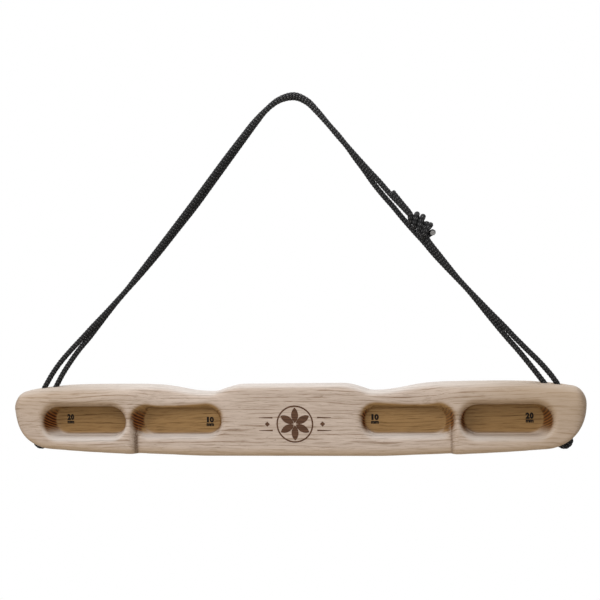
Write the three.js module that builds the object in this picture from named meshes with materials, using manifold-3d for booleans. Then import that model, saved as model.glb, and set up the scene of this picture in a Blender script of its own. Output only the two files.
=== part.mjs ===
// A portable climbing hangboard: one shaped beech board with four finger pockets, hung on a closed
// loop of braided cord. The loop runs up from two slanted holes in each end of the board, over
// whatever holds the board up, and is closed by a double fisherman's knot on its right side.
//
// Millimetres, +Z up, the climber stands on the -Y side. The origin is the point under the top of
// the sling, where it rests on its support.

import * as THREE from 'three';
import { mergeVertices } from 'three/addons/utils/BufferGeometryUtils.js';
import Module from 'manifold-3d';

const wasm = await Module();
wasm.setup();

// Driving dimensions of the board. Its own frame has X along the board from the middle, Y into the
// board from the face of the two end pads, and Z up from the middle of the bottom edge.
const boardLength = 577;
const boardHeight = 71.3;           // over the flat block in the middle
const boardDepth = 40;              // from the pad faces to the flat back
const padRise = 10;                 // how far the end pads stand in front of the middle
const padEdgeRun = 11.5;            // the pads' rounded inner edge, along the board
const padBlendLead = 36.5;          // higher up the same rise is a long slope that starts before it
const padBlendRun = 52;

const upperCornerRadius = 14.6;
const lowerCornerRun = 42;          // the long curve under each end, along the board
const endFlat = 3;                  // upright stretch between the two corner curves
const endFrontRadiusHigh = 9;       // seen from above, the ends are rounded too, more so low down
const endFrontRadiusLow = 18;
const endBackRadius = 9;

const blockTopRadius = 7;           // rolled top edge at the front, over the middle block
const scoopTopRadius = 8.5;         // over the scoops above the shallow pockets
const padTopRadius = 12;
const blockBackRadius = 5;
const padBackRadius = 10;
const bottomFrontRadius = 5;
const bottomBackRadius = 4;

// The pockets, one pair in the pads and one in the middle, counted inwards from the board's ends.
// edge is how deep a finger goes in, lip and floor are the roundings at its mouth and its back, and
// slope is how far the outer end wall leans in on its way to the back.
const deepPocket = { width: 85.6, height: 30.1, low: 21.5, edge: 20, lip: 8, floor: 2, slope: 6 };
const shallowPocket = { width: 89.5, height: 28.2, low: 21.3, edge: 10, lip: 6.5, floor: 2, slope: 6.5 };
const deepPocketFromEnd = 33.2;
const creaseFromDeepPocket = 11.2;  // the crease where a pad begins
const shallowPocketPastCrease = 3;  // the shallow pocket runs on under the pad's edge
const lipOverrun = 0.9;

// The cord and its holes. The board tilts in the sling about the line through the holes' mouths.
const cordDiameter = 5.5;
const holeDiameter = 8;
const holeSpacing = 12;             // between the two holes of one end, along the board
const outerHoleFromEnd = 27;        // measured on the tilt line
const holeLeanDegrees = 12;         // the holes lean outwards on their way down
const tiltLineSink = 1;             // how far the mouths lie under the height of the middle block
const tiltLineDepth = 24.1;         // behind the pad faces, over the board's balance line
const countersink = 1.4;
const bightSeat = 0.5;              // how far the middle of a U-turn's arc lies inside the board
const saddleClearance = 0.8;        // round the cord, in the saddle that joins the two holes below
const cordClearance = 0.3;          // between one cord solid and the next

// The knot, a barrel with a waist along the outer strand
const knotLength = 29.2;
const knotRadius = 7.8;
const knotWaistRadius = 6.8;
const knotEndRadius = 5.2;
const knotOffset = 2.8;             // the coils lie outside the strands that run into them

// Where the board hangs, seen from the origin
const boardDrop = 355;            // from the sling's rest down to the board's bottom edge
const boardShift = -10.3;           // the sling was hung a little to the right of the middle

// The cord's routes, as x, y, z from the origin. The outer strand runs from the left end's outer
// hole over the top to the knot, and from the knot to the right end's outer hole; the inner strand
// runs beside and behind it from inner hole to inner hole.
const upperRoute = [
  [-271.8, 0, -284.7], [-262.8, 0, -270.6], [-253, -0.5, -258.2], [-241.2, -1, -245.9],
  [-228.6, -1.6, -233.7], [-216.1, -2.4, -221.5], [-203.2, -2.8, -209.3], [-190.9, -2.9, -197.2],
  [-179.1, -2.9, -185.1], [-168.9, -2.9, -173.1], [-148.7, -2.9, -149.1], [-128.8, -2.7, -125.2],
  [-109.2, -2.6, -101.5], [-90.2, -2.6, -78], [-71.2, -2.7, -54.6], [-51.5, -2.9, -31.4],
  [-41.4, -2.9, -19.8], [-29, -2.9, -8.4], [-15.5, -2.9, 1.6], [0, -2.9, 5.4], [13, -2.9, -0.6],
  [22.5, -2.9, -10.8], [32.1, -2.9, -23], [41.6, -2.9, -35.3], [51.8, -2.9, -47.5],
  [62.1, -2.9, -59.7], [72.1, -2.9, -71.9], [82.2, -2.9, -84.1], [92.2, -3, -96.5],
  [102.2, -3.4, -108], [111, -3.6, -117.5],
];
const lowerRoute = [
  [251.2, 0, -284.7], [244.7, 0, -275.5], [234.7, 0, -263.7], [223.3, -0.5, -251.9],
  [212.1, -1, -240.1], [201.4, -1.9, -228.2], [190.1, -2.6, -216.3], [179.1, -2.9, -204.4],
  [168, -2.9, -192.4], [157.7, -2.9, -180.5], [148.6, -2.9, -168.6], [139.8, -3, -156.8],
  [133.4, -3.4, -148.3], [129.1, -3.6, -141.9],
];
const innerRoute = [
  [-259.8, 0, -284.7], [-251.2, 0, -270.7], [-242.3, 0.5, -258.3], [-232.5, 1, -246],
  [-221.5, 1.6, -233.8], [-211.4, 2.4, -221.5], [-201.4, 2.8, -209.3], [-190.8, 2.9, -197.2],
  [-179.3, 2.9, -185.1], [-167.2, 2.9, -173.1], [-144.9, 2.8, -149.2], [-124.2, 2.6, -125.3],
  [-103.8, 2.5, -101.7], [-85.1, 2.5, -78.2], [-66.6, 2.6, -54.8], [-48.2, 2.8, -31.5],
  [-38.8, 2.9, -19.9], [-28.2, 2.9, -9.2], [-15, 2.9, -0.6], [0, 2.9, 2.75], [12, 2.9, -2],
  [21.8, 2.9, -11.8], [32.3, 2.9, -23.2], [42.6, 2.9, -35.3], [51.9, 2.9, -47.5],
  [60.4, 2.9, -59.7], [69, 2.9, -71.8], [77.4, 3, -83.9], [86.3, 3.1, -96], [95.6, 3.2, -108.2],
  [105, 3.4, -120.3], [114.8, 3.5, -132.3], [125.4, 3.4, -144.4], [135.6, 3.2, -156.4],
  [146.6, 2.9, -168.4], [157.8, 2.9, -180.5], [168.4, 2.9, -192.4], [177.6, 2.9, -204.3],
  [186.7, 2.6, -216.2], [195.9, 1.9, -228.1], [205.3, 1, -240], [215.1, 0.5, -251.8],
  [224.3, 0, -263.6], [232.8, 0, -275.4], [239.2, 0, -284.7],
];
// The two tails, from inside the knot: the long one lies on the upper strand, the short one points
// out to the right
const longTailRoute = [
  [118.3, -6.1, -119.7], [113.7, -9.1, -116.6], [109.5, -9.2, -112.6], [105.1, -8.9, -107.2],
  [100.6, -8.1, -100.5], [96.1, -7.2, -93.9],
];
const shortTailRoute = [
  [130.2, -5.1, -132.1], [133.3, -8.1, -135.4], [134.7, -10.8, -136.4],
];

// How finely the curves are cut
const cornerSteps = 4;
const faceSteps = 8;
const pocketEndSteps = 11;
const lipSteps = 5;
const floorSteps = 2;
const noseSteps = 7;
const cordSides = 8;
const holeSides = 14;
const knotSteps = 12;
const bightSteps = 6;
const strandStep = 3 * cordDiameter;
const loopStep = 0.6 * cordDiameter;
const leanSteps = 12;
const cutOverrun = 6;

const halfLength = boardLength / 2;
const deepPocketStart = halfLength - deepPocketFromEnd - deepPocket.width;
const padStart = deepPocketStart - creaseFromDeepPocket;
const padBlendStart = padStart - padBlendLead;
const shallowPocketStart = padStart + shallowPocketPastCrease - shallowPocket.width;
const outerHole = halfLength - outerHoleFromEnd;
const tiltLineHeight = boardHeight - tiltLineSink;
const cordRadius = cordDiameter / 2;

// Outline of the board seen from the front, as shares of the half length and of the height. The
// first shares say where the middle block ends, where the scoop is lowest and where it ends.
const blockEndShare = 0.175;
const scoopShare = 0.315;
const scoopEndShare = 0.475;
const topEdgeShares = [
  [0, 1], [blockEndShare, 1], [0.2, 0.99], [0.24, 0.946], [0.282, 0.897], [scoopShare, 0.901],
  [0.36, 0.9215], [0.43, 0.9745], [scoopEndShare, 0.999], [0.56, 1.0177], [0.69, 1.0216],
  [0.8, 1.0147], [0.87, 0.995], [0.92, 0.9725], [0.9515, 0.949],
];
const bottomEdgeShares = [
  [0, 0], [0.29, 0], [0.42, 0.0175], [0.545, 0.038], [0.6, 0.053], [0.66, 0.065], [0.75, 0.0855],
  [0.8495, 0.116],
];

// A smooth height over the length of the board through the given shares, flat where it peaks
function edgeCurve(shares) {
  const points = shares.map(([x, z]) => [x * halfLength, z * boardHeight]);
  const rise = (i) => (points[i + 1][1] - points[i][1]) / (points[i + 1][0] - points[i][0]);
  const slopes = points.map((point, i) => {
    if (i === 0 || i === points.length - 1) return rise(Math.min(i, points.length - 2));
    const [before, after] = [rise(i - 1), rise(i)];
    return before * after <= 0 ? 0 : (2 * before * after) / (before + after);
  });
  return (x) => {
    const last = points.length - 2;
    const i = Math.min(last, Math.max(0, points.findIndex((point) => point[0] > x) - 1));
    const k = x >= points[last + 1][0] ? last : i;
    const span = points[k + 1][0] - points[k][0];
    const t = (x - points[k][0]) / span;
    const [t2, t3] = [t * t, t * t * t];
    return (2 * t3 - 3 * t2 + 1) * points[k][1] + (t3 - 2 * t2 + t) * span * slopes[k]
      + (3 * t2 - 2 * t3) * points[k + 1][1] + (t3 - t2) * span * slopes[k + 1];
  };
}

const topEdge = edgeCurve(topEdgeShares);
const bottomEdge = edgeCurve(bottomEdgeShares);
const upperCornerStart = halfLength - upperCornerRadius;
const lowerCornerStart = halfLength - lowerCornerRun;
const upperCornerCentre = topEdge(upperCornerStart) - upperCornerRadius;
const lowerCornerCentre = upperCornerCentre - endFlat;

const mix = (a, b, t) => a + (b - a) * t;
const clampShare = (t) => Math.min(1, Math.max(0, t));
const smooth = (t) => clampShare(t) ** 2 * (3 - 2 * clampShare(t));
const roundShare = (t) => Math.sqrt(Math.max(0, 1 - clampShare(t) ** 2));

function topOf(x) {
  if (x <= upperCornerStart) return topEdge(x);
  return upperCornerCentre + upperCornerRadius * roundShare((x - upperCornerStart) / upperCornerRadius);
}

function bottomOf(x) {
  if (x <= lowerCornerStart) return bottomEdge(x);
  const cornerBottom = bottomEdge(lowerCornerStart);
  const rise = lowerCornerCentre - cornerBottom;
  return lowerCornerCentre - rise * roundShare((x - lowerCornerStart) / lowerCornerRun);
}

// How far the front face lies behind the pad faces: low down it steps forward at the crease, in a
// rounded edge, and high up it comes forward over a long slope
function faceDepth(x, z) {
  const endRadius = mix(endFrontRadiusLow, endFrontRadiusHigh, smooth(z / boardHeight));
  const atEnd = endRadius * (1 - roundShare((x - halfLength + endRadius) / endRadius));
  const low = x < padStart ? 1 : 1 - roundShare(1 - (x - padStart) / padEdgeRun);
  const high = 1 - smooth((x - padBlendStart) / padBlendRun);
  const share = smooth((z - shallowPocket.low) / shallowPocket.height);
  return atEnd + padRise * mix(low, high, share);
}

function backDepth(x) {
  return boardDepth - endBackRadius * (1 - roundShare((x - halfLength + endBackRadius) / endBackRadius));
}

// The radius of an edge that changes along the board, from the block over the scoop to the pad
function alongRadius(x, overBlock, overScoop, overPad) {
  const toScoop = smooth((x / halfLength - blockEndShare) / (scoopShare - blockEndShare));
  const toPad = smooth((x - padBlendStart) / padBlendRun);
  return mix(mix(overBlock, overScoop, toScoop), overPad, toPad);
}

// One cross-section of the board, anticlockwise seen from +X: round the bottom front corner, up the
// front, over the top and down the back
function boardSection(x) {
  const a = Math.abs(x);
  const [top, bottom, back] = [topOf(a), bottomOf(a), backDepth(a)];
  const thickness = back - Math.max(faceDepth(a, bottom), faceDepth(a, top));
  const limit = Math.min(top - bottom, thickness) / 2;
  const r = {
    bottomFront: Math.min(limit, bottomFrontRadius),
    topFront: Math.min(limit, alongRadius(a, blockTopRadius, scoopTopRadius, padTopRadius)),
    topBack: Math.min(limit, alongRadius(a, blockBackRadius, blockBackRadius, padBackRadius)),
    bottomBack: Math.min(limit, bottomBackRadius),
  };
  const points = [];
  const corner = (y, z, radius, from) => {
    for (let i = 0; i <= cornerSteps; i += 1) {
      const angle = from + (i / cornerSteps) * (Math.PI / 2);
      points.push([y + radius * Math.cos(angle), z + radius * Math.sin(angle)]);
    }
  };
  corner(back - r.bottomBack, bottom + r.bottomBack, r.bottomBack, -Math.PI / 2);
  corner(back - r.topBack, top - r.topBack, r.topBack, 0);
  corner(faceDepth(a, top) + r.topFront, top - r.topFront, r.topFront, Math.PI / 2);
  const [faceTop, faceBottom] = [top - r.topFront, bottom + r.bottomFront];
  for (let i = 1; i < faceSteps; i += 1) {
    const z = mix(faceTop, faceBottom, i / faceSteps);
    points.push([faceDepth(a, z), z]);
  }
  corner(faceDepth(a, bottom) + r.bottomFront, bottom + r.bottomFront, r.bottomFront, Math.PI);
  return points.map(([y, z]) => new THREE.Vector3(x, y, z));
}

// Closed skin over a row of rings with equally many points, its two ends closed by fans
function loft(rings) {
  const count = rings[0].length;
  const positions = rings.flat().flatMap((p) => [p.x, p.y, p.z]);
  const index = [];
  for (let i = 0; i + 1 < rings.length; i += 1) {
    for (let j = 0; j < count; j += 1) {
      const [a, b] = [i * count + j, i * count + ((j + 1) % count)];
      index.push(a, b, b + count, a, b + count, a + count);
    }
  }
  [rings[0], rings[rings.length - 1]].forEach((ring, end) => {
    const middle = ring.reduce((sum, p) => sum.add(p), new THREE.Vector3()).divideScalar(count);
    const hub = positions.length / 3;
    positions.push(middle.x, middle.y, middle.z);
    const start = end * (rings.length - 1) * count;
    for (let j = 0; j < count; j += 1) {
      const [a, b] = [start + j, start + ((j + 1) % count)];
      index.push(...(end ? [hub, a, b] : [hub, b, a]));
    }
  });
  const geometry = new THREE.BufferGeometry();
  geometry.setAttribute('position', new THREE.Float32BufferAttribute(positions, 3));
  geometry.setIndex(index);
  return geometry;
}

function toSolid(geometry) {
  const bare = geometry.clone();
  bare.deleteAttribute('normal');
  bare.deleteAttribute('uv');
  const merged = mergeVertices(bare);
  return new wasm.Manifold(new wasm.Mesh({
    numProp: 3,
    vertProperties: Float32Array.from(merged.attributes.position.array),
    triVerts: Uint32Array.from(merged.index.array),
  }));
}

function toGeometry(solid) {
  const mesh = solid.getMesh();
  const geometry = new THREE.BufferGeometry();
  geometry.setAttribute('position', new THREE.BufferAttribute(mesh.vertProperties, 3));
  geometry.setIndex(new THREE.BufferAttribute(mesh.triVerts, 1));
  geometry.computeVertexNormals();
  return geometry;
}

// Stations along one half of the board, closer together where its form changes
function boardStations() {
  const [blockEnd, scoop, scoopEnd] = [blockEndShare, scoopShare, scoopEndShare]
    .map((share) => share * halfLength);
  const spans = [
    [0, blockEnd, 2],
    [blockEnd, scoop, 9],
    [scoop, scoopEnd, 8],
    [scoopEnd, padStart, 5],
    [padStart, padStart + padEdgeRun, 8],
    [padStart + padEdgeRun, lowerCornerStart, 8],
    [lowerCornerStart, upperCornerStart, 7],
  ];
  const stations = spans.flatMap(([from, to, steps]) => (
    Array.from({ length: steps }, (unused, i) => mix(from, to, i / steps))
  ));
  for (let i = 0; i <= noseSteps; i += 1) {
    stations.push(upperCornerStart + upperCornerRadius * Math.sin((i / noseSteps) * (Math.PI / 2)));
  }
  return stations;
}

function boardBlank() {
  const half = boardStations();
  const stations = [...half.slice(1).reverse().map((x) => -x), ...half];
  return loft(stations.map(boardSection));
}

// Slot-shaped ring of a pocket, grown outwards from its walls. start is where the pocket begins,
// side is 1 for the right end of the board and -1 for the left, lean is how far the outer end has
// moved in, and depth says how deep a point lies
function pocketRing(pocket, start, side, grow, lean, depth) {
  const radius = pocket.height / 2;
  const height = pocket.low + radius;
  const outerCentre = start + pocket.width - radius - lean;
  const ring = [];
  [[outerCentre, -Math.PI / 2], [start + radius, Math.PI / 2]].forEach(([centre, from]) => {
    for (let i = 0; i <= pocketEndSteps; i += 1) {
      const angle = from + (i / pocketEndSteps) * Math.PI;
      const x = centre + (radius + grow) * Math.cos(angle);
      const z = height + (radius + grow) * Math.sin(angle);
      ring.push(new THREE.Vector3(side * x, depth(x, z), z));
    }
  });
  return side > 0 ? ring.reverse() : ring;
}

// A pocket as a solid to cut away: a rolled lip that follows the face, walls that are straight but
// for the leaning outer end, and a rounded foot where they meet the back wall at the given depth
function pocketCutter(pocket, start, back, side) {
  const ring = (grow, lean, depth) => pocketRing(pocket, start, side, grow, lean, depth);
  const lip = (grow, inset) => ring(grow, 0, (x, z) => faceDepth(x, z) + inset);
  const rings = [lip(pocket.lip, -cutOverrun), lip(pocket.lip, -lipOverrun)];
  for (let i = 1; i <= lipSteps; i += 1) {
    const angle = (i / lipSteps) * (Math.PI / 2);
    rings.push(lip(pocket.lip * (1 - Math.sin(angle)), pocket.lip * (1 - Math.cos(angle))));
  }
  for (let i = 0; i <= floorSteps; i += 1) {
    const angle = (i / floorSteps) * (Math.PI / 2);
    const depth = back - pocket.floor * (1 - Math.sin(angle));
    rings.push(ring(-pocket.floor * (1 - Math.cos(angle)), pocket.slope, () => depth));
  }
  return toSolid(loft(rings));
}

// Places on the leaning cord holes: side is 1 or -1, hole 0 is the inner and 1 the outer one
const holeLean = Math.tan((holeLeanDegrees * Math.PI) / 180);

function holeTop(side, hole) {
  return new THREE.Vector3(side * (outerHole - (1 - hole) * holeSpacing), tiltLineDepth, tiltLineHeight);
}

function holeBottom(side, hole) {
  const top = holeTop(1, hole);
  let x = top.x;
  for (let i = 0; i < leanSteps; i += 1) {
    x = top.x + holeLean * (tiltLineHeight - bottomOf(x));
  }
  return new THREE.Vector3(side * x, tiltLineDepth, bottomOf(x));
}

// A solid to cut one cord hole with, countersunk at both mouths and run past them
function holeCutter(top, bottom) {
  const reach = top.distanceTo(bottom) / 2;
  const small = holeDiameter / 2;
  const wide = small + countersink;
  const profile = [
    [0, -reach - cutOverrun], [wide + cutOverrun, -reach - cutOverrun], [wide, -reach],
    [small, -reach + 2 * countersink], [small, reach - 2 * countersink],
    [wide, reach], [wide + cutOverrun, reach + cutOverrun], [0, reach + cutOverrun],
  ].map(([radius, height]) => new THREE.Vector2(radius, height));
  const geometry = new THREE.LatheGeometry(profile, holeSides);
  const upwards = top.clone().sub(bottom).normalize();
  geometry.applyQuaternion(new THREE.Quaternion().setFromUnitVectors(new THREE.Vector3(0, 1, 0), upwards));
  const middle = top.clone().add(bottom).multiplyScalar(0.5);
  geometry.translate(middle.x, middle.y, middle.z);
  return toSolid(geometry);
}

function holeCutters() {
  return [-1, 1].flatMap((side) => (
    [0, 1].map((hole) => holeCutter(holeTop(side, hole), holeBottom(side, hole)))
  ));
}

// The saddle under one end: the U-turn's own line, cut a little wider than the cord
function saddleCutter(side) {
  const arc = cordLoop(side).slice(2, -2);
  return toSolid(tubeAlong(arc, cordRadius + saddleClearance, loopStep));
}

function board() {
  const pockets = [1, -1].flatMap((side) => [
    pocketCutter(deepPocket, deepPocketStart, deepPocket.edge, side),
    pocketCutter(shallowPocket, shallowPocketStart, padRise + shallowPocket.edge, side),
  ]);
  const cutters = [...pockets, ...holeCutters(), saddleCutter(-1), saddleCutter(1)];
  return toGeometry(cutters.reduce((solid, cutter) => solid.subtract(cutter), toSolid(boardBlank())));
}

// A plain round tube along a route
function tubeAlong(points, radius, stepLength) {
  const section = new THREE.Shape();
  for (let i = 0; i < cordSides; i += 1) {
    const angle = (i / cordSides) * 2 * Math.PI;
    const [x, y] = [radius * Math.cos(angle), radius * Math.sin(angle)];
    if (i === 0) section.moveTo(x, y);
    else section.lineTo(x, y);
  }
  section.closePath();
  const extrudePath = new THREE.CatmullRomCurve3(points, false, 'centripetal');
  const steps = Math.ceil(extrudePath.getLength() / stepLength);
  return new THREE.ExtrudeGeometry(section, { steps, extrudePath, bevelEnabled: false });
}

const cordAlong = (points, stepLength) => tubeAlong(points, cordRadius, stepLength);
const routePoints = (route) => route.map(([x, y, z]) => new THREE.Vector3(x, y, z));

// A strand of the sling. Where it enters the board it ends in a ball round the tilt line, so that
// the loop inside the board keeps its small gap to it however the board tilts.
function strand(route, mouths) {
  const points = routePoints(route);
  let solid = toSolid(cordAlong(points, strandStep));
  mouths.forEach((mouth) => {
    const ball = new THREE.SphereGeometry(cordRadius, 2 * cordSides, cordSides);
    ball.translate(...points.at(mouth).toArray());
    solid = solid.add(toSolid(ball));
  });
  return toGeometry(solid);
}

// The cord inside one end of the board: down the inner hole, round under the board and up the
// outer one. It stops short of the tilt line, so that its ends can turn under the strands.
function cordLoop(side) {
  const [inner, outer] = [holeTop(side, 0), holeTop(side, 1)];
  const down = holeBottom(side, 0).sub(inner).normalize();
  const across = outer.clone().sub(inner);
  across.addScaledVector(down, -across.dot(down));
  const radius = across.length() / 2;
  across.normalize();
  const middleX = (holeBottom(1, 0).x + holeBottom(1, 1).x) / 2;
  const mouthMiddle = new THREE.Vector3(side * middleX, tiltLineDepth, bottomOf(middleX));
  const depth = mouthMiddle.sub(inner).dot(down) - bightSeat;
  const centre = inner.clone().addScaledVector(across, radius).addScaledVector(down, depth);
  const arc = Array.from({ length: bightSteps + 1 }, (unused, i) => {
    const angle = (i / bightSteps) * Math.PI;
    return centre.clone()
      .addScaledVector(across, -radius * Math.cos(angle))
      .addScaledVector(down, radius * Math.sin(angle));
  });
  const stop = cordRadius + cordClearance;
  return [
    inner.clone().addScaledVector(down, stop),
    inner.clone().addScaledVector(down, depth / 2),
    ...arc,
    outer.clone().addScaledVector(down, depth / 2),
    outer.clone().addScaledVector(down, stop),
  ];
}

// The knot's outer shape as a solid of revolution, set between the ends of the two strands but
// further out, and the two tails that come out of it
function knot() {
  const [start, end] = [upperRoute, lowerRoute].map((route) => new THREE.Vector3(...route[route.length - 1]));
  const profile = new THREE.SplineCurve([
    [knotEndRadius, -knotLength / 2], [knotRadius, -knotLength / 4], [knotWaistRadius, 0],
    [knotRadius, knotLength / 4], [knotEndRadius, knotLength / 2],
  ].map(([radius, height]) => new THREE.Vector2(radius, height))).getPoints(knotSteps);
  const axisPoint = (height) => new THREE.Vector2(0, height);
  const outline = [axisPoint(-knotLength / 2), ...profile, axisPoint(knotLength / 2)];
  const geometry = new THREE.LatheGeometry(outline, holeSides);
  const along = start.clone().sub(end).normalize();
  geometry.applyQuaternion(new THREE.Quaternion().setFromUnitVectors(new THREE.Vector3(0, 1, 0), along));
  const outwards = new THREE.Vector3(along.z, 0, -along.x).normalize();
  const middle = start.add(end).multiplyScalar(0.5).addScaledVector(outwards, knotOffset);
  geometry.translate(middle.x, middle.y, middle.z);
  const tails = [longTailRoute, shortTailRoute].map((route) => (
    toSolid(cordAlong(routePoints(route), loopStep))
  ));
  return toGeometry(tails.reduce((solid, tail) => solid.add(tail), toSolid(geometry)));
}

const group = new THREE.Group();
const boardFrame = new THREE.Group();
boardFrame.position.set(boardShift, -tiltLineDepth, -boardDrop);
group.add(boardFrame);

const beech = new THREE.MeshStandardMaterial({ color: 0xd9bfa5, roughness: 0.62, metalness: 0 });
const braid = new THREE.MeshStandardMaterial({ color: 0x1b1b1d, roughness: 0.85, metalness: 0 });

function addPiece(parent, name, geometry, material) {
  const mesh = new THREE.Mesh(geometry, material);
  mesh.name = name;
  parent.add(mesh);
}

addPiece(boardFrame, 'board', board(), beech);
addPiece(boardFrame, 'cord_loop_left', cordAlong(cordLoop(-1), loopStep), braid);
addPiece(boardFrame, 'cord_loop_right', cordAlong(cordLoop(1), loopStep), braid);
addPiece(group, 'cord_outer_upper', strand(upperRoute, [0]), braid);
addPiece(group, 'cord_outer_lower', strand(lowerRoute, [0]), braid);
addPiece(group, 'cord_inner', strand(innerRoute, [0, -1]), braid);
addPiece(group, 'cord_knot', knot(), braid);

export default group;
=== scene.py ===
# %% [markdown]
# # A hanging training board
#
# This lesson dresses a climber's hangboard: one shaped bar of beech, hung on a closed loop of black
# braided cord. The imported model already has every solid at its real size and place. What is left to
# make is what a camera sees: wood that looks sanded instead of cut in facets, grain, burnt marks, and
# a cord with its braid and its knot.

# %% Load the fixed frame
import math

import bpy
import numpy as np
from mathutils import Matrix, Vector


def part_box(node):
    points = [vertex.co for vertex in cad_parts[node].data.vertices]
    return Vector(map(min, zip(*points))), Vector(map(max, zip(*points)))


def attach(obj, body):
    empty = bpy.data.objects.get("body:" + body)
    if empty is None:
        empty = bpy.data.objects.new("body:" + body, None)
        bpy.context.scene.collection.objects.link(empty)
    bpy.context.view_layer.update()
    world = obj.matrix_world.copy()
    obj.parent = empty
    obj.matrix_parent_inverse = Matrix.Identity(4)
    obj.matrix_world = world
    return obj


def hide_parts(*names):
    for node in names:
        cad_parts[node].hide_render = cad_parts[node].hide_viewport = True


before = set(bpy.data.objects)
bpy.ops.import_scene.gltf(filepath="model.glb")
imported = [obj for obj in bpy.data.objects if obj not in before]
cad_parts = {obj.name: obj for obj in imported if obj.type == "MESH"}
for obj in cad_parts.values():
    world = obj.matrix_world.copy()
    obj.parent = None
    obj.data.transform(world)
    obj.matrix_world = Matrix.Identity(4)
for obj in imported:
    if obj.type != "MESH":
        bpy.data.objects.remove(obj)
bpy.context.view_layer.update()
print("solids in the frame:", sorted(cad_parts))

# %% [markdown]
# ## Two ways to say where something is
#
# The whole object is measured from the point under the top of its cord. Marks on the board are
# easier to place from the board itself, so one helper starts at the middle of its bottom edge, on
# the plane of the two raised pads. The board's own box gives that point, and nothing is typed twice.

# %% Millimetres and the board's own frame
MM = 0.001
BOARD_DEPTH = 40
BLOCK_HEIGHT = 71.3
MIDDLE_FACE = 10
POCKET_BACK = 20
board_low, board_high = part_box("board")


def on_board(x, y, z):
    """A place on the board, in millimetres: along it, into it from the pads, and up from its foot."""
    middle = (board_low.x + board_high.x) / 2
    return Vector((middle + x * MM, board_low.y + y * MM, board_low.z + z * MM))


print("board box in mm:", [round(v / MM, 1) for v in board_high - board_low])

# %% [markdown]
# ## The camera
#
# The photograph looks at the board a little from its right and a little from above, with a long
# lens. The real board hung slightly out of level, so the camera is rolled by that angle and the
# board stays square to its axes. The three turns are multiplied in the order in which a tripod
# makes them: pan, tilt, then roll about the lens.

# %% Place the camera
CAMERA_DISTANCE = 1.2
CAMERA_PAN = math.radians(9.385)
CAMERA_TILT = math.radians(2.034)
CAMERA_ROLL = math.radians(-1.478)
CAMERA_LENS = 72
CAMERA_SENSOR = 36
AIM = on_board(11.2, 20, 156.1)

turn = (
    Matrix.Rotation(CAMERA_PAN, 4, "Z")
    @ Matrix.Rotation(math.pi / 2 - CAMERA_TILT, 4, "X")
    @ Matrix.Rotation(CAMERA_ROLL, 4, "Z")
)
bpy.ops.object.camera_add()
camera = bpy.context.object
camera.name = "camera"
camera.matrix_world = Matrix.Translation(AIM + turn.to_3x3() @ Vector((0, 0, CAMERA_DISTANCE))) @ turn
camera.data.lens = CAMERA_LENS
camera.data.sensor_width = CAMERA_SENSOR
bpy.context.scene.camera = camera
print("camera at", [round(v, 3) for v in camera.location])

# %% [markdown]
# ## Shader maths that reads as sums
#
# A material is a web of nodes, and most of them are plain arithmetic. This small class wraps one
# socket and teaches it +, -, *, / and **, so that a mask can be written as a formula. Each sign comes
# as a pair of methods, because Python calls another one when a number stands in front, as in
# 1 - mask. Every other node comes from one method, which sets the node up first and then fills or
# links its inputs.

# %% A socket that can be added and multiplied


def operator_pair(operation):
    """The two methods of one sign: with the socket in front of it, and with the number in front."""

    def socket_first(shade, other):
        return shade.maths(operation, other)

    def number_first(shade, number):
        return shade.node("ShaderNodeMath", {"operation": operation}, {0: number, 1: shade})

    return socket_first, number_first


class Shade:
    """One socket of a material. Arithmetic on it adds the nodes that work the result out."""

    def __init__(self, tree, socket):
        self.tree = tree
        self.socket = socket

    def node(self, kind, settings, inputs, output=0):
        """A new node. Its settings come first, and then each input gets a value or a link."""
        made = self.tree.nodes.new(kind)
        for name, value in settings.items():
            setattr(made, name, value)
        for name, value in inputs.items():
            if isinstance(value, Shade):
                self.tree.links.new(value.socket, made.inputs[name])
            else:
                made.inputs[name].default_value = value
        return Shade(self.tree, made.outputs[output])

    def maths(self, operation, *others):
        return self.node("ShaderNodeMath", {"operation": operation}, dict(enumerate([self, *others])))

    __add__, __radd__ = operator_pair("ADD")
    __sub__, __rsub__ = operator_pair("SUBTRACT")
    __mul__, __rmul__ = operator_pair("MULTIPLY")
    __truediv__, __rtruediv__ = operator_pair("DIVIDE")
    __pow__, __rpow__ = operator_pair("POWER")

    def stretched(self, x, y, z):
        """A vector times one number for each axis."""
        return self.node("ShaderNodeVectorMath", {"operation": "MULTIPLY"}, {0: self, 1: (x, y, z)})

    def moved(self, offset):
        return self.node("ShaderNodeVectorMath", {"operation": "ADD"}, {0: self, 1: offset})

    def joined(self, y, z):
        """A vector with this number as its X."""
        return self.node("ShaderNodeCombineXYZ", {}, {0: self, 1: y, 2: z})

    def parts(self):
        return [self.node("ShaderNodeSeparateXYZ", {}, {0: self}, output=i) for i in range(3)]

    def noise(self, scale, detail, roughness=0.5):
        inputs = {"Vector": self, "Scale": scale, "Detail": detail, "Roughness": roughness}
        return self.node("ShaderNodeTexNoise", {}, inputs)

    def step(self, low, high):
        """0 below low, 1 above high and smooth between them."""
        settings = {"interpolation_type": "SMOOTHSTEP"}
        return self.node("ShaderNodeMapRange", settings, {"Value": self, "From Min": low, "From Max": high})

    def colour(self, first, second):
        """A colour between two others, where this socket is the share of the second."""
        return self.node("ShaderNodeMix", {"data_type": "RGBA"}, {0: self, 6: first, 7: second}, output=2)

    def bump(self, distance, strength):
        inputs = {"Height": self, "Distance": distance, "Strength": strength}
        return self.node("ShaderNodeBump", {}, inputs)

    def from_mesh(self, name):
        """A value that the mesh carries as an attribute of its points."""
        return self.node("ShaderNodeAttribute", {"attribute_name": name}, {}, output=2)


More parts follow.
